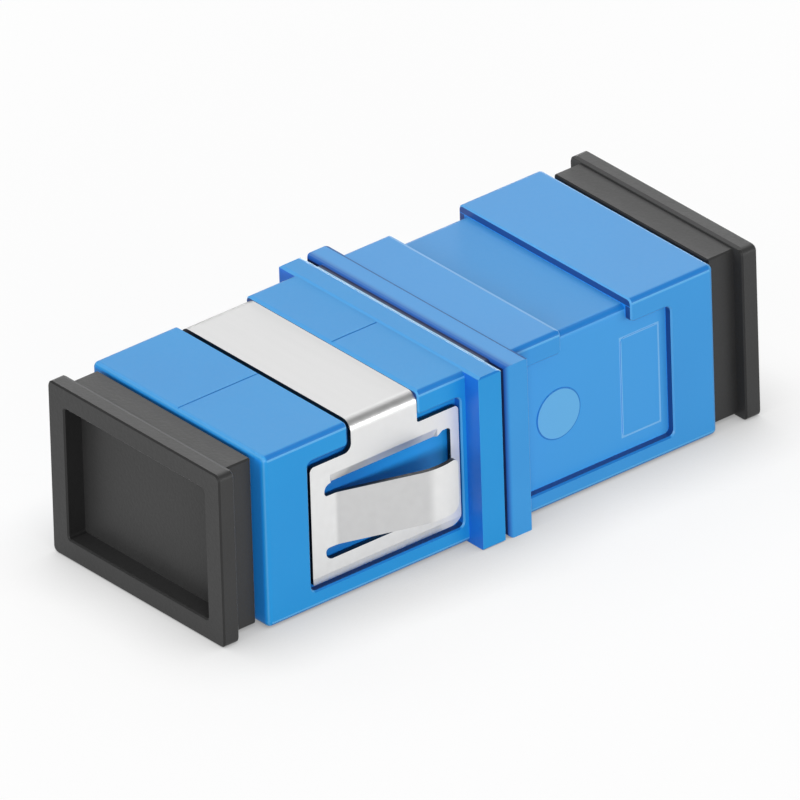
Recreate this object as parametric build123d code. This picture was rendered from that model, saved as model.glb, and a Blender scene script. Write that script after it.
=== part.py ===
from build123d import *

import math
import os

# Simplex fibre optic adapter for square push-pull connectors, reduced flange, with a spring
# steel panel clip and two dust caps. Millimetres. Y is the optical axis, Z is up, and the
# origin is on the optical axis in the weld plane between the two housing halves.

# Housing outside
body_width = 13.0
body_height = 9.4
body_half_length = 14.1
corner_round = 0.3
end_round = 0.3

# Flange ribs and the weld seam between them
rib_face = 1.55
rib_side = 1.05
rib_top = 0.05
rib_break = 0.08
rib_edge_round = 0.04
front_seam = 0.14
rear_seam = 0.06
rear_seam_round = 0.35
seam_depth_side = 0.6
seam_depth_top = 0.5

# Shallow slopes along the top edges that end a level
slope_run = 0.2
slope_drop = 0.07

# Clip channel over the top and clip recess in both sides
skin_depth = 0.45
land_end = 4.48
channel_width = 4.4
recess_start = 1.85
recess_length = 9.52
recess_top = 3.45
recess_bottom = 3.72
recess_corner = 0.3
channel_corner = 0.2
channel_fold_round = 0.4
mouth_break = 0.08
mouth_depth = 0.12

# Raised mould marks on the recess floor
mark_height = 0.03
mark_root = 0.2
disc_radius = 1.35
disc_station = 4.55
disc_drop = 0.1
panel_start = 8.5
panel_length = 2.38
panel_height = 5.45
panel_drop = 0.2
panel_corner = 0.3

# Fine parting line along the top of the front half
parting_offset = -0.13
parting_width = 0.07
parting_depth = 0.04

# Connector port
port_width = 9.0
port_height = 7.4
port_corner = 0.2
port_chamfer = 0.3
key_width = 2.4
key_depth = 0.6

# Seat for the latch insert and the weld dowels
flange_width = 10.5
flange_height = 7.9
flange_thickness = 2.0
flange_corner = 0.4
flange_clearance = 0.05
dowel_radius = 0.4
dowel_length = 0.9
dowel_station = 6.1
dowel_clearance = 0.05
dowel_tip_play = 0.1

# Split alignment sleeve
sleeve_outer_radius = 1.6
sleeve_bore_radius = 1.25
sleeve_half_length = 5.7
sleeve_slot = 0.5
sleeve_chamfer = 0.1

# Barrel and latch arms of the latch insert
sleeve_clearance = 0.06
sleeve_end_play = 0.05
barrel_radius = 2.25
barrel_lip = 0.65
barrel_mouth_radius = 1.45
barrel_chamfer = 0.25
arm_inner = 3.2
arm_thickness = 0.8
arm_height = 2.8
arm_reach = 9.3
root_gusset = 0.35
nose_depth = 0.5
nose_length = 1.1
nose_flat = 0.25
nose_back = 0.3
arm_tip_chamfer = 0.25

# Panel clip, folded from one sheet
clip_thickness = 0.25
clip_clearance = 0.12
clip_fold_radius = 0.6
strap_play = 0.03
strap_front_play = 0.27
side_play = 0.1
side_front_play = 0.17
side_top_play = 0.43
side_bottom_play = 0.17
side_corner = 0.25
side_heel_corner = 0.6
strap_front_fillet = 0.45
strap_back_fillet = 0.12

# Window in the side of the clip
window_heel_rail = 0.53
window_root_rail = 0.85
window_top_rail = 1.24
window_bottom_rail = 1.17
window_corner = 0.4
slot_corner = 0.2
relief_width = 0.5
relief_slope = 0.3
relief_height = 0.22
relief_corner = 0.2
relief_blend = 0.35

# Spring finger in the window
finger_slot = 0.65
finger_lift = 17.8
finger_return = 20.0
finger_root_radius = 1.5
finger_knee_radius = 3.4
finger_root = 0.5
finger_tip_gap = 0.6
finger_tip_straight = 0.12
finger_tip_corner = 0.45

# Coined bevels on the lower edge of the side and on the top edge of its window
bevel_height = 0.44
bevel_depth = 0.12
bevel_taper = 0.15

# Dust caps
cap_plate_width = 13.0
cap_plate_thickness = 0.95
cap_plate_corner = 0.35
cap_edge_break = 0.08
cap_neck_width = 11.6
cap_neck_height = 9.14
cap_neck_length = 1.6
cap_stand_off = 0.2
cap_pocket_width = 10.6
cap_pocket_height = 7.2
cap_pocket_depth = 1.1
cap_pocket_corner = 0.15
cap_floor = 0.9
cap_plug_gap = 0.6
cap_plug_wall = 0.9
cap_plug_clearance = 0.05
cap_plug_corner = 0.4
cap_plug_lead = 0.3

# Worked out from the sizes above
body_side = body_width / 2
body_top = body_height / 2
rib_width = body_width + 2 * rib_side
rib_height = body_height + 2 * rib_top
channel_end = land_end + channel_width
recess_end = recess_start + recess_length
recess_floor = body_side - skin_depth
channel_floor = body_top - skin_depth
barrel_length = sleeve_half_length + sleeve_end_play + barrel_lip
clip_side = recess_floor + clip_clearance + clip_thickness
clip_top = channel_floor + clip_clearance + clip_thickness
side_back = recess_start + side_play
side_front = recess_end - side_front_play
side_top = recess_top - side_top_play
side_bottom = recess_bottom - side_bottom_play
strap_back = land_end + strap_play
strap_front = channel_end - strap_front_play
window_back = side_back + window_heel_rail
window_front = side_front - window_root_rail
window_top = side_top - window_top_rail
window_bottom = side_bottom - window_bottom_rail
finger_top = window_top - finger_slot
finger_bottom = window_bottom - finger_slot
cap_neck_start = body_half_length + cap_stand_off
cap_plate_start = cap_neck_start + cap_neck_length
cap_face = cap_plate_start + cap_plate_thickness
reach_through = 2 * body_width
near_enough = 0.001


def bar(width, height, corner, start, end):
    """A straight bar along the optical axis with rounded long edges."""
    section = Plane.XZ.offset(-start) * RectangleRounded(width, height, corner)
    return extrude(section, -(end - start))


def bar_square(width, height, start, end):
    """A straight bar along the optical axis with sharp long edges."""
    return Pos(0, (start + end) / 2, 0) * Box(width, end - start, height)


def side_prism(outline):
    """A side view, drawn as Y across and Z up, pushed through the whole width."""
    return extrude(Plane.YZ * outline, reach_through / 2, both=True)


def side_rectangle(y_low, y_high, z_low, z_high):
    """A plain rectangle in the side view."""
    middle = ((y_low + y_high) / 2, (z_low + z_high) / 2)
    return Pos(*middle) * Rectangle(y_high - y_low, z_high - z_low)


def vertices_at(outline, places):
    """The corners of an outline that lie at the given places."""
    return [
        corner
        for corner in outline.vertices()
        if any((Vector(*corner) - Vector(*place)).length < near_enough for place in places)
    ]


def turned_round(part):
    """The same moulding on the other side of the weld plane."""
    return Rot(0, 0, 180) * part


def skin_outline():
    """Side view of the clip's seat: the recess with the channel standing on it."""
    recess = side_rectangle(recess_start, recess_end, -recess_bottom, recess_top)
    channel = side_rectangle(land_end, channel_end, 0, body_height)
    outline = recess + channel
    outer = [
        (recess_start, recess_top),
        (recess_end, recess_top),
        (recess_start, -recess_bottom),
        (recess_end, -recess_bottom),
    ]
    inner = [(land_end, recess_top), (channel_end, recess_top)]
    outline = fillet(vertices_at(outline, outer), recess_corner)
    return fillet(vertices_at(outline, inner), channel_corner)


def skin_core():
    """What stays inside the clip's seat, with a rounded fold over each top edge."""
    core = bar(2 * recess_floor, body_height, corner_round, 0, body_half_length)
    above = Pos(0, body_half_length / 2, channel_floor + body_height) * Box(
        reach_through, body_half_length, 2 * body_height
    )
    core -= above
    folds = [
        edge
        for edge in core.edges().filter_by(Axis.Y)
        if abs(abs(edge.center().X) - recess_floor) < near_enough
        and abs(edge.center().Z - channel_floor) < near_enough
    ]
    return fillet(folds, channel_fold_round)


def mouth_edges(body):
    """The edges where the clip's seat opens through the outside of the body."""
    found = []
    for edge in body.edges():
        depth = min(body_side - abs(edge.center().X), body_top - edge.center().Z)
        box = edge.bounding_box()
        in_seat = box.min.Y > recess_start - near_enough and box.max.Y < recess_end + near_enough
        if depth < mouth_depth and in_seat:
            found.append(edge)
    return found


def top_slope(face, top, width):
    """The shallow wedge that is cut from a top edge where a level ends at the given face."""
    outline = Polyline(
        (face - slope_run, top),
        (face, top - slope_drop),
        (face + slope_run, top),
        (face, top + slope_run),
        close=True,
    )
    return extrude(Plane.YZ * make_face(outline), width / 2, both=True)


def flange_rib(seam, seam_round):
    """The rib that the panel stops on, with the seam side turned to the weld plane."""
    rib = bar_square(rib_width, rib_height, seam, rib_face)
    if seam_round > rib_break:
        rib = fillet(rib.faces().sort_by(Axis.Y)[0].edges(), seam_round)
        return chamfer(rib.faces().sort_by(Axis.Y)[-1].edges(), rib_break)
    rib = chamfer(rib.edges().filter_by(Axis.Y), rib_break)
    ends = rib.faces().sort_by(Axis.Y)
    rib = fillet(ends[0].edges() + ends[-1].edges(), rib_edge_round)
    return rib - top_slope(seam, rib_height / 2, rib_width)


def outer_body(seam, seam_round):
    """The moulded outside of one half: body, clip seat and flange rib."""
    body = bar(body_width, body_height, corner_round, 0, body_half_length)
    body = fillet(body.faces().sort_by(Axis.Y)[-1].edges(), end_round)
    body -= side_prism(skin_outline()) - skin_core()
    body = chamfer(mouth_edges(body), mouth_break)
    weld_land = bar_square(
        rib_width - 2 * seam_depth_side, rib_height - 2 * seam_depth_top, 0, rib_face
    )
    body -= top_slope(land_end, body_top, body_width)
    rib = flange_rib(seam, seam_round)
    rib -= top_slope(rib_face, rib_height / 2, rib_width)
    return body + rib + weld_land


def mould_marks():
    """Raised disc and panel on the floor of both side recesses of the rear half."""
    disc = Pos(disc_station, -disc_drop) * Circle(disc_radius)
    panel = side_rectangle(
        panel_start,
        panel_start + panel_length,
        -panel_height / 2 - panel_drop,
        panel_height / 2 - panel_drop,
    )
    panel = fillet(panel.vertices(), panel_corner)
    thickness = mark_height + mark_root
    on_side = Plane.YZ.offset(recess_floor - mark_root)
    marks = extrude(on_side * (disc + panel), thickness)
    return marks + mirror(marks, about=Plane.YZ)


def port_hollow():
    """The square port with its lead-in and its key slot."""
    hollow = bar(
        port_width, port_height, port_corner, flange_thickness, body_half_length + port_chamfer
    )
    slot_top = -port_height / 2 + port_corner
    slot_bottom = -port_height / 2 - key_depth
    slot_length = body_half_length - flange_thickness + port_chamfer
    slot_middle = (slot_top + slot_bottom) / 2
    slot = Pos(0, flange_thickness + slot_length / 2, slot_middle) * Box(
        key_width, slot_length, slot_top - slot_bottom
    )
    throat = Rectangle(port_width, port_height)
    flare = Rectangle(port_width + 4 * port_chamfer, port_height + 4 * port_chamfer)
    mouth = loft(
        [
            Plane.XZ.offset(port_chamfer - body_half_length) * throat,
            Plane.XZ.offset(-port_chamfer - body_half_length) * flare,
        ]
    )
    return hollow + slot + mouth


def housing_half(seam, seam_round):
    """One welded half of the outer housing, standing on the plus Y side."""
    half = outer_body(seam, seam_round)
    seat = bar(
        flange_width + 2 * flange_clearance,
        flange_height + 2 * flange_clearance,
        flange_corner,
        -flange_clearance,
        flange_thickness,
    )
    half -= port_hollow() + seat
    on_weld_plane = Plane.XZ
    dowel = on_weld_plane * Pos(dowel_station, 0) * Circle(dowel_radius)
    socket = on_weld_plane * Pos(-dowel_station, 0) * Circle(dowel_radius + dowel_clearance)
    half += extrude(dowel, dowel_length)
    half -= extrude(socket, -(dowel_length + dowel_tip_play))
    return half


def parting_line():
    """The fine seam left by the mould along the top of the front half."""
    length = body_half_length - rib_face
    return Pos(parting_offset, -(rib_face + length / 2), body_top) * Box(
        parting_width, length, 2 * parting_depth
    )


def split_sleeve():
    """The slotted ceramic sleeve that lines up the two ferrules."""
    length = 2 * sleeve_half_length
    tube = Cylinder(sleeve_outer_radius, length)
    tube = chamfer(tube.edges().filter_by(GeomType.CIRCLE), sleeve_chamfer)
    tube -= Cylinder(sleeve_bore_radius, length)
    tube -= Pos(sleeve_outer_radius / 2, 0, 0) * Box(sleeve_outer_radius, sleeve_slot, length)
    return Rot(0, -90, 0) * Rot(90, 0, 0) * tube


def latch_arm():
    """One hooked spring arm, drawn in the top view and as tall as the arm."""
    outer = arm_inner + arm_thickness
    nose_start = arm_reach - nose_length
    outline = Polyline(
        (arm_inner, 0),
        (arm_inner, nose_start),
        (arm_inner - nose_depth, nose_start + nose_back),
        (arm_inner - nose_depth, nose_start + nose_back + nose_flat),
        (arm_inner, arm_reach),
        (outer - arm_tip_chamfer, arm_reach),
        (outer, arm_reach - arm_tip_chamfer),
        (outer, 0),
        close=True,
    )
    return extrude(make_face(outline), arm_height / 2, both=True)


def latch_insert():
    """Flange, half barrel and two latch arms, moulded in one, on the plus Y side."""
    flange = bar(flange_width, flange_height, flange_corner, 0, flange_thickness)
    on_weld_plane = Plane.XZ
    barrel = extrude(on_weld_plane * Circle(barrel_radius), -barrel_length)
    barrel = chamfer(barrel.edges().sort_by(Axis.Y)[-1], barrel_chamfer)
    arm = latch_arm()
    insert = flange + barrel + arm + mirror(arm, about=Plane.YZ)
    roots = [
        edge
        for edge in insert.edges()
        if abs(edge.center().Y - flange_thickness) < near_enough
        and (
            edge.geom_type == GeomType.CIRCLE and abs(edge.radius - barrel_radius) < near_enough
            or abs(abs(edge.center().X) - arm_inner - arm_thickness) < near_enough
        )
    ]
    insert = chamfer(roots, root_gusset)
    sleeve_seat = Circle(sleeve_outer_radius + sleeve_clearance)
    insert -= extrude(on_weld_plane * sleeve_seat, -(sleeve_half_length + sleeve_end_play))
    insert -= extrude(on_weld_plane * Circle(barrel_mouth_radius), -barrel_length)
    return insert


def clip_band():
    """The folded sheet before it is cut: one strap over the top and two sides."""
    drop = clip_top + side_bottom + clip_thickness
    outer = Pos(0, clip_top - drop / 2) * Rectangle(2 * clip_side, drop)
    folds = vertices_at(outer, [(clip_side, clip_top), (-clip_side, clip_top)])
    outer = fillet(folds, clip_fold_radius)
    inner_side = clip_side - clip_thickness
    inner_top = clip_top - clip_thickness
    inner = Pos(0, inner_top - drop / 2) * Rectangle(2 * inner_side, drop)
    folds = vertices_at(inner, [(inner_side, inner_top), (-inner_side, inner_top)])
    inner = fillet(folds, clip_fold_radius - clip_thickness)
    section = Plane.XZ.offset(-side_back) * (outer - inner)
    return extrude(section, side_back - side_front)


def clip_outline():
    """Side view of the cut sheet: the side with the strap standing on it."""
    side = side_rectangle(side_back, side_front, -side_bottom, side_top)
    strap = side_rectangle(strap_back, strap_front, 0, body_height)
    outline = side + strap
    corners = [(side_back, side_top), (side_front, side_top), (side_front, -side_bottom)]
    outline = fillet(vertices_at(outline, corners), side_corner)
    outline = fillet(vertices_at(outline, [(side_back, -side_bottom)]), side_heel_corner)
    outline = fillet(vertices_at(outline, [(strap_front, side_top)]), strap_front_fillet)
    outline = fillet(vertices_at(outline, [(strap_back, side_top)]), strap_back_fillet)
    return outline


def clip_window():
    """Side view of the window, without the root that carries the finger."""
    window = side_rectangle(window_back, window_front, -window_bottom, window_top)
    relief_top = window_top + relief_height
    relief_front = window_back + relief_width
    relief_foot = relief_front + relief_slope
    window += make_face(
        Polyline(
            (window_back, 0),
            (window_back, relief_top),
            (relief_front, relief_top),
            (relief_foot, window_top),
            (relief_foot, 0),
            close=True,
        )
    )
    finger_base = window_front - finger_root
    window -= side_rectangle(finger_base, window_front, -finger_bottom, finger_top)
    relief = [(window_back, relief_top), (relief_front, relief_top)]
    slots = [
        (window_back, -window_bottom),
        (window_front, finger_top),
        (window_front, -finger_bottom),
    ]
    ends = [(window_front, window_top), (window_front, -window_bottom)]
    window = fillet(vertices_at(window, [(relief_foot, window_top)]), relief_blend)
    window = fillet(vertices_at(window, relief), relief_corner)
    window = fillet(vertices_at(window, slots), slot_corner)
    return fillet(vertices_at(window, ends), window_corner)


def spring_finger():
    """The tongue that springs out of the window and presses on the panel."""
    root = window_front - finger_root
    tip = window_back + finger_tip_gap
    middle = clip_side - clip_thickness / 2
    lift = math.radians(finger_lift)
    back = math.radians(finger_return)
    root_bend = root - finger_root_radius * math.tan(lift / 2)
    last_run = finger_knee_radius * math.tan((lift + back) / 2) + finger_tip_straight
    knee = tip + last_run * math.cos(back)
    knee_out = middle + (root_bend - knee) * math.tan(lift)
    overrun = last_run + clip_thickness
    path = FilletPolyline(
        (middle, root + finger_root / 2),
        (middle, root_bend),
        (knee_out, knee),
        (knee_out - overrun * math.sin(back), knee - overrun * math.cos(back)),
        radius=[finger_root_radius, finger_knee_radius],
    )
    tongue = extrude(trace(path, clip_thickness), reach_through / 2, both=True)
    outline = side_rectangle(tip, root + finger_root, -finger_bottom, finger_top)
    corners = [(tip, -finger_bottom), (tip, finger_top)]
    outline = fillet(vertices_at(outline, corners), finger_tip_corner)
    return tongue & side_prism(outline)


def coined_bevel(edge_height, start, end):
    """The wedge pressed off the outside of the sheet just above an edge, run out at its ends."""
    rise = edge_height + bevel_height
    fall = edge_height - bevel_height
    deep = clip_side - 2 * bevel_depth
    proud = clip_side + bevel_depth
    slope = Polyline((clip_side, rise), (deep, fall), (proud, fall), (proud, rise), close=True)
    runout = Polyline(
        (clip_side, start),
        (deep, start + 2 * bevel_taper),
        (deep, end - 2 * bevel_taper),
        (clip_side, end),
        (proud, end),
        (proud, start),
        close=True,
    )
    wedge = extrude(Plane.XZ.offset(-start) * make_face(slope), -(end - start))
    return wedge & extrude(make_face(runout), body_height, both=True)


def panel_clip():
    """The whole clip on the plus Y side: band, windows, fingers and bevels."""
    clip = clip_band() & side_prism(clip_outline())
    clip -= side_prism(clip_window())
    bevels = coined_bevel(-side_bottom, side_back, side_front)
    bevels += coined_bevel(
        window_top, window_back + relief_width + relief_slope, window_front - window_corner
    )
    clip -= bevels + mirror(bevels, about=Plane.YZ)
    finger = spring_finger()
    return clip + finger + mirror(finger, about=Plane.YZ)


def dust_cap():
    """A cap on the plus Y side: pocketed plate, neck and hollow plug."""
    plate = bar(cap_plate_width, rib_height, cap_plate_corner, cap_plate_start, cap_face)
    plate = chamfer(plate.faces().sort_by(Axis.Y)[0].edges(), cap_edge_break)
    plate -= top_slope(cap_plate_start, rib_height / 2, cap_plate_width)
    neck = bar_square(cap_neck_width, cap_neck_height, cap_neck_start, cap_plate_start)
    neck = chamfer(neck.edges().filter_by(Axis.Y), cap_edge_break)
    neck = chamfer(neck.faces().sort_by(Axis.Y)[0].edges(), cap_edge_break)
    plug_width = port_width - 2 * cap_plug_clearance
    plug_height = port_height - 2 * cap_plug_clearance
    plug_tip = arm_reach + cap_plug_gap
    plug = bar(plug_width, plug_height, cap_plug_corner, plug_tip, cap_neck_start)
    plug = chamfer(plug.faces().sort_by(Axis.Y)[0].edges(), cap_plug_lead)
    pocket_floor = cap_face - cap_pocket_depth
    pocket = bar(
        cap_pocket_width, cap_pocket_height, cap_pocket_corner, pocket_floor, cap_face
    )
    hollow = bar(
        plug_width - 2 * cap_plug_wall,
        plug_height - 2 * cap_plug_wall,
        cap_plug_corner,
        plug_tip,
        pocket_floor - cap_floor,
    )
    cap = plate + neck + plug - pocket - hollow
    return chamfer(cap.faces().sort_by(Axis.Y)[-1].edges(), cap_edge_break)


os.makedirs("parts", exist_ok=True)

front_half = housing_half(front_seam, rib_break)
rear_half = housing_half(rear_seam, rear_seam_round)
insert = latch_insert()
cap = dust_cap()

nodes = {
    "front_housing": turned_round(front_half) - parting_line(),
    "rear_housing": rear_half + mould_marks(),
    "front_latch_insert": turned_round(insert),
    "rear_latch_insert": insert,
    "split_sleeve": split_sleeve(),
    "mounting_clip": turned_round(panel_clip()),
    "front_dust_cap": turned_round(cap),
    "rear_dust_cap": cap,
}

for name, solid in nodes.items():
    export_step(solid, f"parts/{name}.step")
    print(name, "solids", len(solid.solids()), "volume", round(solid.volume, 2))
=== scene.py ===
import math

import bpy
from mathutils import Matrix, Vector


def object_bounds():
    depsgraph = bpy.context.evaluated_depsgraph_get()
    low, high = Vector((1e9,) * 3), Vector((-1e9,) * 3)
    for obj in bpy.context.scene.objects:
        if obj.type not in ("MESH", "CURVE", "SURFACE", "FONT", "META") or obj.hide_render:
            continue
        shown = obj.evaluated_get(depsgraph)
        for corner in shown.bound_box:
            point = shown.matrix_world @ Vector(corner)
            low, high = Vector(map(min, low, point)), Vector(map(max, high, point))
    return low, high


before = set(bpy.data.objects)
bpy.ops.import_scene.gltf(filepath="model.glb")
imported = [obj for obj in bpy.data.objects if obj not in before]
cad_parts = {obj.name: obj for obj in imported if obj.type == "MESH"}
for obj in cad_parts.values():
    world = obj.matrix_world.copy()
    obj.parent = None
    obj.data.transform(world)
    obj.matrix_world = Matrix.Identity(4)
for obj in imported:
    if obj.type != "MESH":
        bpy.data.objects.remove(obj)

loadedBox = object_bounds()
scene = bpy.context.scene


# Small helpers for building node trees

def addNode(tree, kind, place, **settings):
    node = tree.nodes.new(kind)
    node.location = place
    for key, value in settings.items():
        setattr(node, key, value)
    return node


def setInputs(node, **values):
    for key, value in values.items():
        node.inputs[key.replace("_", " ")].default_value = value


def newGroup(name, inputs, outputs):
    group = bpy.data.node_groups.new(name, "ShaderNodeTree")
    for socketName, kind, value in inputs:
        socket = group.interface.new_socket(socketName, in_out="INPUT", socket_type=kind)
        socket.default_value = value
    for socketName, kind in outputs:
        group.interface.new_socket(socketName, in_out="OUTPUT", socket_type=kind)
    first = addNode(group, "NodeGroupInput", (-900, 0))
    last = addNode(group, "NodeGroupOutput", (900, 0))
    return group, first, last


def newMaterial(name, **shaderValues):
    material = bpy.data.materials.new(name)
    material.use_nodes = True
    tree = material.node_tree
    shader = tree.nodes["Principled BSDF"]
    shader.location = (500, 0)
    tree.nodes["Material Output"].location = (800, 0)
    for key, value in shaderValues.items():
        shader.inputs[key.replace("_", " ")].default_value = value
    return material, tree, shader


def noiseNode(tree, place, source, scale, detail, roughness=0.5):
    noise = addNode(tree, "ShaderNodeTexNoise", place)
    setInputs(noise, Detail=detail, Roughness=roughness)
    if isinstance(scale, (int, float)):
        setInputs(noise, Scale=scale)
    else:
        tree.links.new(scale, noise.inputs["Scale"])
    tree.links.new(source, noise.inputs["Vector"])
    return noise


def mathNode(tree, place, operation, first, second=None, third=None):
    node = addNode(tree, "ShaderNodeMath", place, operation=operation)
    for socket, value in zip(node.inputs, (first, second, third)):
        if value is None:
            continue
        if isinstance(value, (int, float)):
            socket.default_value = value
        else:
            tree.links.new(value, socket)
    return node.outputs["Value"]


def rampNode(tree, place, value, low, high):
    ramp = addNode(tree, "ShaderNodeMapRange", place, interpolation_type="SMOOTHSTEP")
    for name, end in (("From Min", low), ("From Max", high)):
        if isinstance(end, (int, float)):
            ramp.inputs[name].default_value = end
        else:
            tree.links.new(end, ramp.inputs[name])
    tree.links.new(value, ramp.inputs["Value"])
    return ramp.outputs["Result"]


def coordinateParts(tree, place, source):
    coords = addNode(tree, "ShaderNodeTexCoord", place)
    parts = addNode(tree, "ShaderNodeSeparateXYZ", (place[0] + 180, place[1]))
    tree.links.new(coords.outputs[source], parts.inputs["Vector"])
    return parts.outputs


def sizesOf(tree, place, source):
    # "Normal": how squarely a face looks along each axis, 0 to 1. "Object": metres from the middle
    parts = coordinateParts(tree, place, source)
    return [
        mathNode(tree, (place[0] + 360, place[1] - 150 * k), "ABSOLUTE", parts[axis])
        for k, axis in enumerate("XYZ")
    ]


def masksTogether(tree, place, *masks):
    product = masks[0]
    for k, mask in enumerate(masks[1:]):
        product = mathNode(tree, (place[0] + 180 * k, place[1]), "MULTIPLY", product, mask)
    return product


# Shared effect: what a steel mould leaves on plastic, a fine spark texture and slow flow tones

skinTexture = {
    "grainDetail": 3,
    "flowDetail": 2,
    "flowSpan": (0.3, 0.7),    # what of the flow's noise turns the tone from deep to light
    "glossSpan": (0.3, 0.8),
    "grainShare": 0.7,         # of the gloss; the rest follows the flow
}


def makeMouldedSkin():
    group, first, last = newGroup(
        "mouldedSkin",
        [
            ("Grain Scale", "NodeSocketFloat", 5200.0),
            ("Flow Scale", "NodeSocketFloat", 160.0),
            ("Light Colour", "NodeSocketColor", (0.8, 0.8, 0.8, 1)),
            ("Deep Colour", "NodeSocketColor", (0.6, 0.6, 0.6, 1)),
            ("Smooth", "NodeSocketFloat", 0.3),
            ("Rough", "NodeSocketFloat", 0.4),
        ],
        [
            ("Colour", "NodeSocketColor"),
            ("Roughness", "NodeSocketFloat"),
            ("Height", "NodeSocketFloat"),
        ],
    )
    links = group.links
    place = addNode(group, "ShaderNodeTexCoord", (-900, 300))
    source = place.outputs["Object"]
    size = first.outputs
    detail = skinTexture["grainDetail"]
    grain = noiseNode(group, (-600, 300), source, size["Grain Scale"], detail)
    detail = skinTexture["flowDetail"]
    flow = noiseNode(group, (-600, 0), source, size["Flow Scale"], detail)
    soften = addNode(group, "ShaderNodeMapRange", (-350, 0))
    low, high = skinTexture["flowSpan"]
    setInputs(soften, From_Min=low, From_Max=high)
    links.new(flow.outputs["Fac"], soften.inputs["Value"])
    tone = addNode(group, "ShaderNodeMix", (0, 0), data_type="RGBA")
    links.new(soften.outputs["Result"], tone.inputs["Factor"])
    links.new(first.outputs["Deep Colour"], tone.inputs["A"])
    links.new(first.outputs["Light Colour"], tone.inputs["B"])
    grainShare = skinTexture["grainShare"]
    slow = mathNode(group, (-350, 200), "MULTIPLY", soften.outputs["Result"], 1 - grainShare)
    both = mathNode(group, (-100, 300), "MULTIPLY_ADD", grain.outputs["Fac"], grainShare, slow)
    sheen = addNode(group, "ShaderNodeMapRange", (200, 300))
    low, high = skinTexture["glossSpan"]
    setInputs(sheen, From_Min=low, From_Max=high)
    links.new(both, sheen.inputs["Value"])
    links.new(first.outputs["Smooth"], sheen.inputs["To Min"])
    links.new(first.outputs["Rough"], sheen.inputs["To Max"])
    links.new(tone.outputs["Result"], last.inputs["Colour"])
    links.new(sheen.outputs["Result"], last.inputs["Roughness"])
    links.new(grain.outputs["Fac"], last.inputs["Height"])
    return group


mouldedSkin = makeMouldedSkin()


# Tones of the clip seat: its floor in a tone of its own, a lighter gate disc with painted shade
# round its rim, and a painted highlight round the outlined panel

floorLimits = {
    "reach": 0.00012,    # metres either side of its depth, so the raised marks belong to it
    "facing": 0.9,       # how squarely it looks sideways
}


def floorMask(tree, place, depth):
    x, y = place
    across = sizesOf(tree, (x, y), "Object")[0]
    sideways = sizesOf(tree, (x, y + 500), "Normal")[0]
    level = mathNode(tree, (x + 540, y), "COMPARE", across, depth, floorLimits["reach"])
    faced = mathNode(tree, (x + 540, y + 500), "GREATER_THAN", sideways, floorLimits["facing"])
    return masksTogether(tree, (x + 720, y), level, faced)


def makeSeatTones():
    group, first, last = newGroup(
        "seatTones",
        [
            ("Floor Depth", "NodeSocketFloat", 0.00605),
            ("Disc Station", "NodeSocketFloat", 0.00455),
            ("Disc Height", "NodeSocketFloat", -0.0001),
            ("Disc Radius", "NodeSocketFloat", 0.00135),
            ("Panel Station", "NodeSocketFloat", 0.00969),
            ("Panel Height", "NodeSocketFloat", -0.0002),
            ("Panel Half Length", "NodeSocketFloat", 0.00119),
            ("Panel Half Height", "NodeSocketFloat", 0.002725),
            ("Line Width", "NodeSocketFloat", 0.00006),
            ("Rim Width", "NodeSocketFloat", 0.00004),
        ],
        [
            ("Floor", "NodeSocketFloat"),
            ("Disc", "NodeSocketFloat"),
            ("Disc Rim", "NodeSocketFloat"),
            ("Panel Line", "NodeSocketFloat"),
        ],
    )
    links = group.links
    size = first.outputs
    parts = coordinateParts(group, (-900, 500), "Object")
    onFloor = floorMask(group, (-900, 900), size["Floor Depth"])
    along = mathNode(group, (-500, 300), "SUBTRACT", parts["Y"], size["Disc Station"])
    above = mathNode(group, (-500, 150), "SUBTRACT", parts["Z"], size["Disc Height"])
    across = addNode(group, "ShaderNodeCombineXYZ", (-300, 250))
    links.new(along, across.inputs["X"])
    links.new(above, across.inputs["Y"])
    away = addNode(group, "ShaderNodeVectorMath", (-100, 250), operation="LENGTH")
    links.new(across.outputs["Vector"], away.inputs[0])
    away = away.outputs["Value"]
    disc = mathNode(group, (100, 350), "LESS_THAN", away, size["Disc Radius"])
    rim = mathNode(group, (100, 200), "COMPARE", away, size["Disc Radius"], size["Rim Width"])
    along = mathNode(group, (-500, 0), "SUBTRACT", parts["Y"], size["Panel Station"])
    above = mathNode(group, (-500, -150), "SUBTRACT", parts["Z"], size["Panel Height"])
    along = mathNode(group, (-300, 0), "ABSOLUTE", along)
    above = mathNode(group, (-300, -150), "ABSOLUTE", above)
    along = mathNode(group, (-100, 0), "SUBTRACT", along, size["Panel Half Length"])
    above = mathNode(group, (-100, -150), "SUBTRACT", above, size["Panel Half Height"])
    border = mathNode(group, (100, -50), "MAXIMUM", along, above)
    line = mathNode(group, (300, -50), "COMPARE", border, 0.0, size["Line Width"])
    links.new(onFloor, last.inputs["Floor"])
    for name, mask in (("Disc", disc), ("Disc Rim", rim), ("Panel Line", line)):
        links.new(masksTogether(group, (600, 100), mask, onFloor), last.inputs[name])
    return group


seatTones = makeSeatTones()


# Edges across the length drawn in a tone of their own: paler as a painted highlight on the blue
# housing, darker as painted shade on the caps

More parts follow.
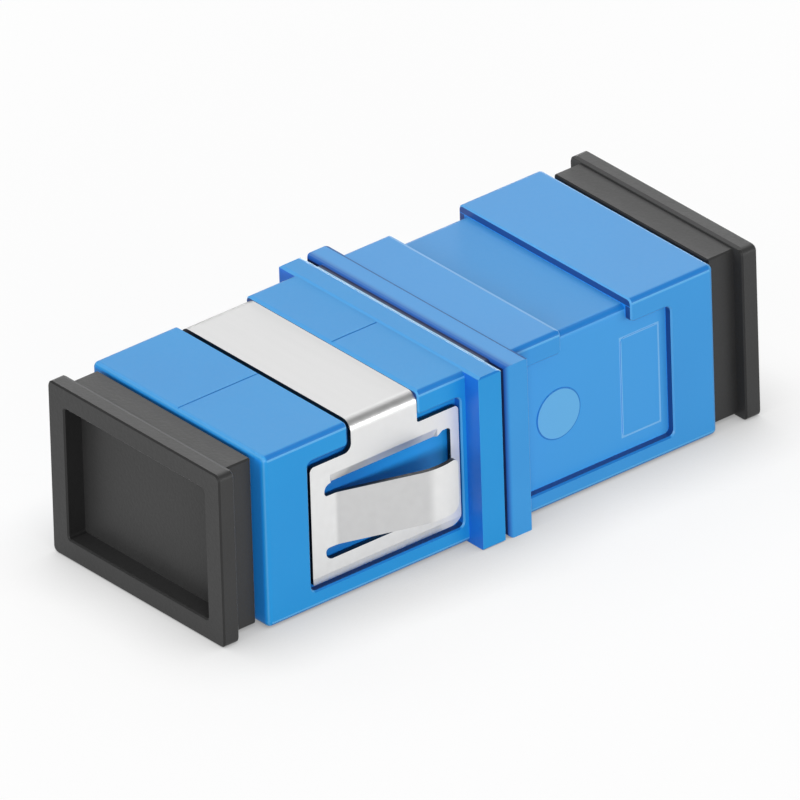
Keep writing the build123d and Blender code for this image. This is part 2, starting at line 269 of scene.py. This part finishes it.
def makePaintedEdgeLines():
    group, first, last = newGroup(
        "paintedEdgeLines",
        [
            ("Flat", "NodeSocketFloat", 0.86),
            ("Full Edge", "NodeSocketFloat", 0.73),
            ("Turn Start", "NodeSocketFloat", 0.15),
            ("Turn Stop", "NodeSocketFloat", 0.45),
        ],
        [("Edge", "NodeSocketFloat")],
    )
    size = first.outputs
    acrossSize, alongSize, upSize = sizesOf(group, (-900, 300), "Normal")
    largest = mathNode(group, (-300, 300), "MAXIMUM", acrossSize, alongSize)
    largest = mathNode(group, (-100, 300), "MAXIMUM", largest, upSize)
    paintedEdge = rampNode(group, (100, 300), largest, size["Flat"], size["Full Edge"])
    endwise = rampNode(group, (100, 0), alongSize, size["Turn Start"], size["Turn Stop"])
    edge = masksTogether(group, (400, 200), paintedEdge, endwise)
    group.links.new(edge, last.inputs["Edge"])
    return group


paintedEdgeLines = makePaintedEdgeLines()


# Long top and bottom edges: painted shade deepens the colour over the round, a painted highlight
# pales it where the side begins

foldFacing = {    # how squarely a face looks along an axis: where a mask begins, where it is full
    "lengthwise": (0.3, 0.1),
    "offTheTop": (0.995, 0.93),
    "endwise": (0.85, 0.97),
    "upward": (0.8, 0.97),
}


def makeFoldTones():
    group, first, last = newGroup(
        "foldTones",
        [
            ("Band End", "NodeSocketFloat", 0.36),
            ("Line End", "NodeSocketFloat", 0.06),
            ("Slope Lean", "NodeSocketFloat", 0.33),
            ("Slope Play", "NodeSocketFloat", 0.1),
            ("Slope Level", "NodeSocketFloat", 0.85),
            ("Slope Share", "NodeSocketFloat", 0.7),
        ],
        [
            ("Band", "NodeSocketFloat"),
            ("Line", "NodeSocketFloat"),
            ("End", "NodeSocketFloat"),
            ("Slope", "NodeSocketFloat"),
            ("Upward", "NodeSocketFloat"),
        ],
    )
    size = first.outputs
    _, alongSize, upSize = sizesOf(group, (-900, 300), "Normal")
    lengthwise = rampNode(group, (-300, 500), alongSize, *foldFacing["lengthwise"])
    sloped = rampNode(group, (-300, 300), upSize, *foldFacing["offTheTop"])
    leaving = mathNode(group, (-300, 100), "GREATER_THAN", upSize, size["Band End"])
    turning = mathNode(group, (-300, -100), "GREATER_THAN", upSize, size["Line End"])
    sideways = mathNode(group, (-300, -300), "SUBTRACT", 1.0, leaving)
    band = mathNode(group, (0, 300), "MULTIPLY", sloped, leaving)
    line = mathNode(group, (0, 0), "MULTIPLY", turning, sideways)
    for name, mask in (("Band", band), ("Line", line)):
        group.links.new(masksTogether(group, (300, 200), mask, lengthwise), last.inputs[name])
    # further masks: end faces for painted shade, sloped edges for a painted highlight, faces that
    # look up for painted light
    endwise = rampNode(group, (300, -200), alongSize, *foldFacing["endwise"])
    group.links.new(endwise, last.inputs["End"])
    slope = mathNode(
        group, (0, -400), "COMPARE", alongSize, size["Slope Lean"], size["Slope Play"]
    )
    level = mathNode(group, (0, -600), "GREATER_THAN", upSize, size["Slope Level"])
    slope = masksTogether(group, (150, -400), slope, level, size["Slope Share"])
    group.links.new(slope, last.inputs["Slope"])
    signed = coordinateParts(group, (-300, -800), "Normal")
    upward = rampNode(group, (300, -800), signed["Z"], *foldFacing["upward"])
    group.links.new(upward, last.inputs["Upward"])
    return group


foldTones = makeFoldTones()


# Painted shade in the creases: the weld seam, the back edge and end face of a rib, the walls and
# floor of the seat, a cap's pocket; also a painted highlight beside the seam

creaseFacing = {    # how squarely a face looks along an axis, 0 to 1
    "level": 0.6,             # at least, upwards or down
    "turned": 0.2,            # at least, along the length
    "endwise": (0.85, 0.97),
    "upright": 0.8,
    "notSideways": 0.5,       # at most
    "notEndwise": 0.5,
}


def makeCreaseTones():
    group, first, last = newGroup(
        "creaseTones",
        [
            ("Gap Reach", "NodeSocketFloat", 0.00012),
            ("Seam Line Station", "NodeSocketFloat", 0.00017),
            ("Seam Line Width", "NodeSocketFloat", 0.00003),
            ("Seam Start", "NodeSocketFloat", 0.0001),
            ("Seam Reach", "NodeSocketFloat", 0.0007),
            ("Seam Narrowing", "NodeSocketFloat", 0.8),
            ("Rib Station", "NodeSocketFloat", 0.00148),
            ("Rib Edge Width", "NodeSocketFloat", 0.00012),
            ("Rib Reach", "NodeSocketFloat", 0.0019),
            ("Floor Depth", "NodeSocketFloat", 0.00605),
            ("Floor Height", "NodeSocketFloat", 0.00425),
            ("Wall Middle", "NodeSocketFloat", 0.0002),
            ("Wall Width", "NodeSocketFloat", 0.00017),
            ("Seat Middle", "NodeSocketFloat", 0.0066),
            ("Seat Half Length", "NodeSocketFloat", 0.00485),
            ("Clip End Start", "NodeSocketFloat", 0.004),
            ("Clip End Stop", "NodeSocketFloat", 0.0095),
            ("Pocket Mouth", "NodeSocketFloat", 0.01578),
            ("Pocket Half Width", "NodeSocketFloat", 0.00536),
            ("Pocket Half Height", "NodeSocketFloat", 0.00366),
        ],
        [
            ("Gap", "NodeSocketFloat"),
            ("Seam Line", "NodeSocketFloat"),
            ("Seam", "NodeSocketFloat"),
            ("Rib Edge", "NodeSocketFloat"),
            ("Rib Face", "NodeSocketFloat"),
            ("Wall", "NodeSocketFloat"),
            ("Clip End", "NodeSocketFloat"),
            ("Pocket", "NodeSocketFloat"),
        ],
    )
    links = group.links
    size = first.outputs
    acrossSize, alongSize, upSize = sizesOf(group, (-900, 300), "Normal")
    sideways, along, above = sizesOf(group, (-900, -200), "Object")

    # the weld seam: painted shade in its gap, a painted highlight line beside it and painted shade
    # over the rounded rib
    gap = mathNode(group, (-200, 1000), "LESS_THAN", along, size["Gap Reach"])
    seamLine = mathNode(
        group, (-200, 1150), "COMPARE", along, size["Seam Line Station"], size["Seam Line Width"]
    )
    level = mathNode(group, (-200, 50), "GREATER_THAN", upSize, creaseFacing["level"])
    seamLine = masksTogether(group, (0, 1150), seamLine, level)
    narrower = mathNode(
        group, (-500, 500), "MULTIPLY_ADD", acrossSize, size["Seam Narrowing"], 1.0
    )
    fromSeam = mathNode(group, (-350, 500), "MULTIPLY", along, narrower)
    seam = rampNode(group, (-200, 500), fromSeam, size["Seam Reach"], size["Seam Start"])

    # painted shade on the back edge and the end face of a rib
    ribEdge = mathNode(
        group, (-200, 200), "COMPARE", along, size["Rib Station"], size["Rib Edge Width"]
    )
    turned = mathNode(group, (-200, -100), "GREATER_THAN", alongSize, creaseFacing["turned"])
    ribEdge = masksTogether(group, (0, 200), ribEdge, level, turned)
    ribFace = mathNode(group, (-200, 700), "LESS_THAN", along, size["Rib Reach"])
    endwise = rampNode(group, (-200, 850), alongSize, *creaseFacing["endwise"])
    ribFace = masksTogether(group, (0, 700), ribFace, endwise)

    # painted shade on the walls round the clip seat, at its sides and over the top
    sideWall = mathNode(group, (-200, -250), "SUBTRACT", sideways, size["Floor Depth"])
    sideWall = mathNode(
        group, (0, -250), "COMPARE", sideWall, size["Wall Middle"], size["Wall Width"]
    )
    facing = mathNode(
        group, (-200, -400), "LESS_THAN", acrossSize, creaseFacing["notSideways"]
    )
    underFold = mathNode(group, (0, -150), "LESS_THAN", above, size["Floor Height"])
    sideWall = masksTogether(group, (200, -250), sideWall, facing, underFold)
    topWall = mathNode(group, (-200, -550), "SUBTRACT", above, size["Floor Height"])
    topWall = mathNode(
        group, (0, -550), "COMPARE", topWall, size["Wall Middle"], size["Wall Width"]
    )
    upright = mathNode(
        group, (-200, -700), "GREATER_THAN", alongSize, creaseFacing["upright"]
    )
    topWall = masksTogether(group, (200, -550), topWall, upright)
    wall = mathNode(group, (400, -400), "MAXIMUM", sideWall, topWall)
    inSeat = mathNode(
        group, (200, -700), "COMPARE", along, size["Seat Middle"], size["Seat Half Length"]
    )
    wall = masksTogether(group, (600, -400), wall, inSeat)

    # painted shade on the seat's floor under the clip's closed end, and on the inner walls of a
    # cap's pocket
    clipEnd = rampNode(
        group, (-200, -1300), along, size["Clip End Start"], size["Clip End Stop"]
    )
    onFloor = floorMask(group, (-900, -1800), size["Floor Depth"])
    clipEnd = masksTogether(group, (200, -1300), clipEnd, onFloor)
    pocket = mathNode(group, (-200, -900), "GREATER_THAN", along, size["Pocket Mouth"])
    inWidth = mathNode(group, (0, -900), "LESS_THAN", sideways, size["Pocket Half Width"])
    inHeight = mathNode(group, (0, -1000), "LESS_THAN", above, size["Pocket Half Height"])
    lengthwise = mathNode(
        group, (0, -1100), "LESS_THAN", alongSize, creaseFacing["notEndwise"]
    )
    pocket = masksTogether(group, (200, -900), pocket, inWidth, inHeight, lengthwise)

    for name, mask in (
        ("Gap", gap), ("Seam Line", seamLine), ("Seam", seam), ("Rib Edge", ribEdge),
        ("Rib Face", ribFace), ("Wall", wall), ("Clip End", clipEnd), ("Pocket", pocket),
    ):
        links.new(mask, last.inputs[name])
    return group


creaseTones = makeCreaseTones()


def plasticMaterial(name, look):
    material, tree, shader = newMaterial(name, IOR=look["ior"])
    skin = addNode(tree, "ShaderNodeGroup", (-500, 0), node_tree=mouldedSkin)
    skin.inputs["Grain Scale"].default_value = look["grainScale"]
    skin.inputs["Flow Scale"].default_value = look["flowScale"]
    skin.inputs["Light Colour"].default_value = (*look["light"], 1)
    skin.inputs["Deep Colour"].default_value = (*look["deep"], 1)
    skin.inputs["Smooth"].default_value = look["smooth"]
    skin.inputs["Rough"].default_value = look["rough"]
    bump = addNode(tree, "ShaderNodeBump", (200, -250))
    setInputs(bump, Strength=look["bump"], Distance=look["grainDepth"])
    tree.links.new(skin.outputs["Colour"], shader.inputs["Base Color"])
    tree.links.new(skin.outputs["Roughness"], shader.inputs["Roughness"])
    tree.links.new(skin.outputs["Height"], bump.inputs["Height"])
    tree.links.new(bump.outputs["Normal"], shader.inputs["Normal"])
    return material, tree, shader, skin


def layColour(tree, place, mask, below, colour):
    layer = addNode(tree, "ShaderNodeMix", place, data_type="RGBA")
    tree.links.new(mask, layer.inputs["Factor"])
    tree.links.new(below, layer.inputs["A"])
    layer.inputs["B"].default_value = (*colour, 1)
    return layer.outputs["Result"]


# Which mask lays which tone of a look, from the lowest layer up

toneLayers = [
    ("folds", "Band", "fold"),
    ("folds", "Line", "foldLine"),
    ("folds", "End", "endFace"),
    ("folds", "Upward", "paintedTopLight"),
    ("folds", "Slope", "slope"),
    ("seat", "Floor", "seatFloor"),
    ("seat", "Disc", "disc"),
    ("seat", "Disc Rim", "discRim"),
    ("seat", "Panel Line", "panelLine"),
    ("creases", "Clip End", "seatShade"),
    ("creases", "Wall", "seatWall"),
    ("creases", "Pocket", "pocketWall"),
    ("creases", "Rib Face", "ribFace"),
    ("creases", "Seam", "seam"),
    ("creases", "Rib Edge", "ribEdge"),
    ("creases", "Gap", "gap"),
    ("creases", "Seam Line", "seamLine"),
]


def tonedPlastic(name, look):
    material, tree, shader, skin = plasticMaterial(name, look)
    # edge lines: painted highlight or painted shade, in the look's edge colour
    edgeLines = addNode(tree, "ShaderNodeGroup", (-500, 250), node_tree=paintedEdgeLines)
    paintedEdge = mathNode(tree, (-300, 250), "MULTIPLY", edgeLines.outputs["Edge"], look["paintedEdgeShare"])
    colour = layColour(tree, (-100, 250), paintedEdge, skin.outputs["Colour"], look["edge"])
    masks = {
        "folds": addNode(tree, "ShaderNodeGroup", (-500, 450), node_tree=foldTones).outputs,
        "seat": addNode(tree, "ShaderNodeGroup", (-500, 650), node_tree=seatTones).outputs,
        "creases": addNode(tree, "ShaderNodeGroup", (-500, 900), node_tree=creaseTones).outputs,
    }
    for source, mask, tone in toneLayers:
        if tone in look:
            colour = layColour(tree, (100, 400), masks[source][mask], colour, look[tone])
    roughness = skin.outputs["Roughness"]
    for source, mask in look["dull"]:
        roughness = mathNode(tree, (100, 0), "MAXIMUM", roughness, masks[source][mask])
    tree.links.new(roughness, shader.inputs["Roughness"])
    tree.links.new(colour, shader.inputs["Base Color"])
    shader.inputs["Sheen Weight"].default_value = look["bloom"]
    shader.inputs["Sheen Roughness"].default_value = look["bloomSpread"]
    return material


# Blue housing halves; the rear one shows its bare seat with the mould's marks

mouldedBlue = {
    # edge: paler on edges across the length, a painted highlight
    "edge": (0.12, 0.45, 0.86),
    "paintedEdgeShare": 0.55,
    # fold: darker over the round of the long edges, painted shade; foldLine: paler where the side
    # begins, a painted highlight
    "fold": (0.004, 0.21, 0.64),
    "foldLine": (0.1, 0.45, 0.87),
    # endFace: deeper blue on faces that look along the length, painted shade
    "endFace": (0.005, 0.3, 0.92),
    # ribFace: deeper blue on the end face of a rib, painted shade
    "ribFace": (0.0, 0.18, 0.76),
    # gap: near black in the weld seam's gap, painted shade
    "gap": (0.0, 0.015, 0.08),
    # seatWall: dark on the walls round the clip seat, painted shade
    "seatWall": (0.002, 0.06, 0.28),
    "bloom": 0.16,
    "bloomSpread": 0.4,
    "smooth": 0.38,
    "rough": 0.48,
    "ior": 1.48,
    "grainScale": 4200.0,
    "flowScale": 140.0,
    "bump": 0.12,
    "grainDepth": 0.00002,    # metres
}

frontHousingLook = {
    **mouldedBlue,
    "light": (0.013, 0.338, 0.79),
    "deep": (0.009, 0.312, 0.76),
    "seatFloor": (0.012, 0.31, 0.8),
    "seatShade": (0.004, 0.17, 0.56),
    # seamLine: pale line beside the weld seam, a painted highlight
    "seamLine": (0.5, 0.78, 0.95),
    "dull": [],
}

rearHousingLook = {
    **mouldedBlue,
    # light and deep: paler and redder than the front half's, a painted sheen
    "light": (0.045, 0.354, 0.81),
    "deep": (0.038, 0.33, 0.78),
    "seatFloor": (0.055, 0.375, 0.85),
    "disc": (0.14, 0.49, 0.88),
    # discRim: dark ring round the gate disc, painted shade; panelLine: pale outline of the panel,
    # a painted highlight
    "discRim": (0.014, 0.22, 0.66),
    "panelLine": (0.2, 0.53, 0.92),
    # seam: dark over the rounded rib beside the weld seam, painted shade
    "seam": (0.0, 0.09, 0.46),
    # slope: pale on the sloped edges, a painted highlight
    "slope": (0.24, 0.54, 0.9),
    # ribEdge: dark on a rib's back edge, painted shade
    "ribEdge": (0.01, 0.13, 0.42),
    "dull": [("creases", "Seam"), ("creases", "Rib Edge"), ("folds", "Slope")],
}

# Black dust caps

capLook = {
    "light": (0.029, 0.029, 0.029),
    "deep": (0.023, 0.023, 0.023),
    # paler on faces that look up, painted light
    "paintedTopLight": (0.052, 0.052, 0.052),
    # pocketWall: darker on the pocket's inner walls, painted shade
    "pocketWall": (0.009, 0.009, 0.009),
    "dull": [("folds", "Slope")],
    # edge: near black on edges across the length, painted shade
    "edge": (0.004, 0.004, 0.004),
    "paintedEdgeShare": 0.8,
    "bloom": 0.16,
    "bloomSpread": 0.4,
    "smooth": 0.42,
    "rough": 0.52,
    "ior": 1.46,
    "grainScale": 5200.0,
    "flowScale": 220.0,
    "bump": 0.35,
    "grainDepth": 0.00003,
}

# Natural plastic latch inserts, seen only with a cap off

insertLook = {
    "light": (0.82, 0.8, 0.73),
    "deep": (0.76, 0.74, 0.66),
    "smooth": 0.35,
    "rough": 0.45,
    "ior": 1.48,
    "grainScale": 4200.0,
    "flowScale": 180.0,
    "bump": 0.12,
    "grainDepth": 0.00002,
}

# Ground zirconia sleeve

sleeveLook = {
    "light": (0.88, 0.87, 0.83),
    "deep": (0.84, 0.82, 0.77),
    "smooth": 0.12,
    "rough": 0.2,
    "ior": 2.1,
    "grainScale": 9000.0,
    "flowScale": 400.0,
    "bump": 0.05,
    "grainDepth": 0.00001,
}

# Stainless spring clip: rolled sheet, its grain runs along the strap

clipLook = {
    "light": (0.94, 0.94, 0.935),
    "deep": (0.9, 0.9, 0.895),
    # strap: darker over the strap's top, painted shade
    "strap": (0.6, 0.6, 0.6),
    # near black on the blanked edges: partly their own dull sheared face, partly painted shade
    "shearedEdgeShade": (0.06, 0.06, 0.06),
    # bent: darker on bent faces that lean towards the front end, painted shade
    "bent": (0.68, 0.68, 0.68),
    "matteFrom": 0.0036,    # metres from the weld seam
    "matteTo": 0.0026,
    "matteShare": 0.7,      # so little of the blue rib shows in the sheet beside it
    "sideFacing": 0.8,      # how squarely the sheet of the sides looks sideways
    "lift": (-0.05, -0.25),    # how far a bent face leans towards the front end
    "smooth": 0.3,
    "rough": 0.4,
    "grainScale": 2600.0,
    "grainStretch": (0.06, 1.0, 1.0),
    "grainDetail": 4,
    "grainRoughness": 0.6,
    "grainSpan": (0.3, 0.7),
    "bump": 0.1,
    "grainDepth": 0.00001,
}


# The blanked edges of the sheet, dark and torn beside its bright faces: the dark is partly their
# own dull sheared face, partly painted shade. The top of the strap is masked too, for painted
# shade

edgeFacing = {    # how squarely a face looks along an axis, 0 to 1
    "level": 0.7,
    "upright": 0.7,
    "strap": (0.5, 1.0),
}


def makeShearedEdges():
    group, first, last = newGroup(
        "shearedEdges",
        [("Fold Height", "NodeSocketFloat", 0.0039)],
        [("Edge", "NodeSocketFloat"), ("Strap", "NodeSocketFloat")],
    )
    _, alongSize, upSize = sizesOf(group, (-900, 300), "Normal")
    height = coordinateParts(group, (-900, -200), "Object")["Z"]
    below = mathNode(group, (-500, -200), "LESS_THAN", height, first.outputs["Fold Height"])
    overTop = mathNode(group, (-100, -400), "SUBTRACT", 1.0, below)
    level = mathNode(group, (-300, 0), "GREATER_THAN", upSize, edgeFacing["level"])
    level = masksTogether(group, (-100, 0), level, below)
    upright = mathNode(group, (-300, 200), "GREATER_THAN", alongSize, edgeFacing["upright"])
    edge = mathNode(group, (200, 100), "MAXIMUM", level, upright)
    strap = rampNode(group, (-100, -200), upSize, *edgeFacing["strap"])
    strap = masksTogether(group, (100, -200), strap, overTop)
    group.links.new(edge, last.inputs["Edge"])
    group.links.new(strap, last.inputs["Strap"])
    return group


shearedEdges = makeShearedEdges()


def steelMaterial(name, look):
    material, tree, shader = newMaterial(name, Metallic=1.0)
    links = tree.links
    place = addNode(tree, "ShaderNodeTexCoord", (-900, 0))
    along = addNode(tree, "ShaderNodeMapping", (-700, 0))
    along.inputs["Scale"].default_value = look["grainStretch"]
    links.new(place.outputs["Object"], along.inputs["Vector"])
    lines = noiseNode(
        tree, (-500, 0), along.outputs["Vector"],
        look["grainScale"], look["grainDetail"], look["grainRoughness"],
    )
    tone = addNode(tree, "ShaderNodeMix", (-200, 150), data_type="RGBA")
    tone.inputs["A"].default_value = (*look["deep"], 1)
    tone.inputs["B"].default_value = (*look["light"], 1)
    links.new(lines.outputs["Fac"], tone.inputs["Factor"])
    sheen = addNode(tree, "ShaderNodeMapRange", (-200, -50))
    low, high = look["grainSpan"]
    setInputs(sheen, From_Min=low, From_Max=high, To_Min=look["smooth"], To_Max=look["rough"])
    links.new(lines.outputs["Fac"], sheen.inputs["Value"])
    bump = addNode(tree, "ShaderNodeBump", (200, -250))
    setInputs(bump, Strength=look["bump"], Distance=look["grainDepth"])
    links.new(lines.outputs["Fac"], bump.inputs["Height"])
    cut = addNode(tree, "ShaderNodeGroup", (-200, 350), node_tree=shearedEdges).outputs
    facing = coordinateParts(tree, (-700, 450), "Normal")
    sideways = mathNode(tree, (-300, 600), "ABSOLUTE", facing["X"])
    sideways = mathNode(tree, (-100, 600), "GREATER_THAN", sideways, look["sideFacing"])
    lifted = rampNode(tree, (-300, 450), facing["Y"], *look["lift"])
    lifted = masksTogether(tree, (-100, 450), lifted, sideways)
    # painted shade: the strap's top, the blanked edges and the bent faces laid darker
    colour = layColour(tree, (0, 250), cut["Strap"], tone.outputs["Result"], look["strap"])
    colour = layColour(tree, (100, 250), cut["Edge"], colour, look["shearedEdgeShade"])
    colour = layColour(tree, (200, 350), lifted, colour, look["bent"])
    station = sizesOf(tree, (-900, -450), "Object")[1]
    matte = rampNode(tree, (-100, -450), station, look["matteFrom"], look["matteTo"])
    matte = masksTogether(tree, (100, -450), matte, sideways)
    metal = mathNode(tree, (300, -450), "MULTIPLY_ADD", matte, -look["matteShare"], 1.0)
    links.new(metal, shader.inputs["Metallic"])
    links.new(colour, shader.inputs["Base Color"])
    links.new(sheen.outputs["Result"], shader.inputs["Roughness"])
    links.new(bump.outputs["Normal"], shader.inputs["Normal"])
    return material


finishes = {
    "frontBlue": tonedPlastic("frontBlue", frontHousingLook),
    "rearBlue": tonedPlastic("rearBlue", rearHousingLook),
    "capBlack": tonedPlastic("capBlack", capLook),
    "insertNatural": plasticMaterial("insertNatural", insertLook)[0],
    "sleeveZirconia": plasticMaterial("sleeveZirconia", sleeveLook)[0],
    "clipSteel": steelMaterial("clipSteel", clipLook),
}
print("mixed", len(finishes), "finishes")

dressing = {
    "front_housing": "frontBlue",
    "rear_housing": "rearBlue",
    "front_latch_insert": "insertNatural",
    "rear_latch_insert": "insertNatural",
    "split_sleeve": "sleeveZirconia",
    "mounting_clip": "clipSteel",
    "front_dust_cap": "capBlack",
    "rear_dust_cap": "capBlack",
}

for nodeName, finish in dressing.items():
    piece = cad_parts[nodeName]
    for slot in piece.material_slots:
        slot.material = finishes[finish]
print("dressed", len(dressing), "pieces")


# Camera at the photograph's angle, far off with a long lens

cameraView = {
    "azimuth": 51.228,      # from -Y towards +X, degrees
    "elevation": 29.468,
    "roll": 1.83,           # the photograph leans this much
    "distance": 1.818,      # metres
    "pixelsPerMetre": 20718.0,
    "frameWidth": 800,
    "originPixel": (405.66, 397.46),
    "sensorWidth": 36,      # millimetres
    "nearest": 0.05,        # metres
    "farthest": 50,
}


def makeCamera(view):
    azimuth = math.radians(view["azimuth"])
    elevation = math.radians(view["elevation"])
    roll = math.radians(view["roll"])
    back = Vector((
        math.sin(azimuth) * math.cos(elevation),
        -math.cos(azimuth) * math.cos(elevation),
        math.sin(elevation),
    ))
    right = Vector((math.cos(azimuth), math.sin(azimuth), 0))
    up = back.cross(right)
    leanRight = right * math.cos(roll) - up * math.sin(roll)
    leanUp = right * math.sin(roll) + up * math.cos(roll)
    middle = view["frameWidth"] / 2
    across = (middle - view["originPixel"][0]) / view["pixelsPerMetre"]
    above = (view["originPixel"][1] - middle) / view["pixelsPerMetre"]
    target = leanRight * across + leanUp * above
    data = bpy.data.cameras.new("photoCamera")
    data.sensor_width = view["sensorWidth"]
    shownWidth = view["frameWidth"] / view["pixelsPerMetre"]
    data.lens = data.sensor_width * view["distance"] / shownWidth
    data.clip_start = view["nearest"]
    data.clip_end = view["farthest"]
    camera = bpy.data.objects.new("photoCamera", data)
    scene.collection.objects.link(camera)
    turn = Matrix((leanRight, leanUp, back)).transposed().to_4x4()
    camera.matrix_world = Matrix.Translation(target + back * view["distance"]) @ turn
    scene.camera = camera


makeCamera(cameraView)
print("camera set")


# Pale floor, white to the camera, with a short soft contact shadow

floorLook = {
    "size": 6.0,              # metres
    "colour": (0.17, 0.17, 0.17),
    "roughness": 0.9,
    "glow": 0.837,
    "mirroredShare": 0.8,     # of the glow, in reflections
    "contactReach": 0.005,    # metres
    "contactDepth": 0.71,
    "contactSamples": 16,
}


def makeFloor(look):
    bpy.ops.mesh.primitive_plane_add(size=look["size"], location=(0, 0, loadedBox[0].z))
    floor = bpy.context.object
    floor.name = "floor"
    material, tree, shader = newMaterial("floorPaper", Roughness=look["roughness"])
    links = tree.links
    shader.inputs["Base Color"].default_value = (*look["colour"], 1)
    shader.inputs["Specular IOR Level"].default_value = 0
    path = addNode(tree, "ShaderNodeLightPath", (-600, -300)).outputs
    mirrored = mathNode(
        tree, (-480, -450), "MULTIPLY", path["Is Glossy Ray"], look["mirroredShare"]
    )
    seen = mathNode(tree, (-350, -300), "MAXIMUM", path["Is Camera Ray"], mirrored)
    contact = addNode(tree, "ShaderNodeAmbientOcclusion", (-600, -600))
    contact.samples = look["contactSamples"]
    setInputs(contact, Distance=look["contactReach"])
    shade = addNode(tree, "ShaderNodeMapRange", (-350, -600))
    setInputs(shade, To_Min=1 - look["contactDepth"])
    links.new(contact.outputs["AO"], shade.inputs["Value"])
    lit = mathNode(tree, (-100, -400), "MULTIPLY", seen, shade.outputs["Result"])
    glow = mathNode(tree, (100, -400), "MULTIPLY", lit, look["glow"])
    shader.inputs["Emission Color"].default_value = (1, 1, 1, 1)
    links.new(glow, shader.inputs["Emission Strength"])
    floor.data.materials.append(material)


makeFloor(floorLook)
print("floor laid")


# Studio: a pale room and seven soft boxes, sizes in metres

worldLook = {
    "level": 0.32,
    "seenWhite": 0.985,
}


def makeWorld(look):
    world = bpy.data.worlds.new("paleRoom")
    scene.world = world
    world.use_nodes = True
    tree = world.node_tree
    back = tree.nodes["Background"]
    path = addNode(tree, "ShaderNodeLightPath", (-600, 0))
    level = addNode(tree, "ShaderNodeMix", (-200, 0), data_type="FLOAT")
    level.inputs["A"].default_value = look["level"]
    level.inputs["B"].default_value = look["seenWhite"]
    tree.links.new(path.outputs["Is Camera Ray"], level.inputs["Factor"])
    tree.links.new(level.outputs["Result"], back.inputs["Strength"])
    back.inputs["Color"].default_value = (1, 1, 1, 1)


makeWorld(worldLook)

softBoxes = {
    "topBox": {"toward": (-0.42, 0.1, 0.9), "width": 0.7, "height": 0.7, "glow": 1.16},
    "backLeftBox": {"toward": (-0.68, 0.545, 0.49), "width": 0.45, "height": 0.35, "glow": 0.42},
    "backLowStrip": {"toward": (-0.68, 0.733, 0.05), "width": 0.24, "height": 0.08, "glow": 14.0},
    "rightLowBox": {"toward": (0.836, 0.545, 0.1), "width": 0.5, "height": 0.12, "glow": 4.5},
    "rightSideBox": {"toward": (0.86, -0.48, 0.15), "width": 0.35, "height": 0.15, "glow": 11.0},
    "leftFrontBox": {"toward": (-0.68, -0.1, 0.72), "width": 0.3, "height": 0.25, "glow": 1.2},
    "frontBox": {"toward": (-0.1, -0.97, 0.2), "width": 0.4, "height": 0.2, "glow": 4.0},
}
boxDistance = 0.6    # metres


def makeSoftBox(name, look):
    data = bpy.data.lights.new(name, "AREA")
    data.shape = "RECTANGLE"
    data.size = look["width"]
    data.size_y = look["height"]
    area = look["width"] * look["height"]
    data.energy = look["glow"] * math.pi * area    # as bright whatever its size
    lamp = bpy.data.objects.new(name, data)
    scene.collection.objects.link(lamp)
    toward = Vector(look["toward"]).normalized()
    lamp.location = toward * boxDistance
    lamp.rotation_euler = toward.to_track_quat("Z", "Y").to_euler()


for boxName, boxLook in softBoxes.items():
    makeSoftBox(boxName, boxLook)
scene.view_settings.view_transform = "Standard"
print("hung", len(softBoxes), "soft boxes")
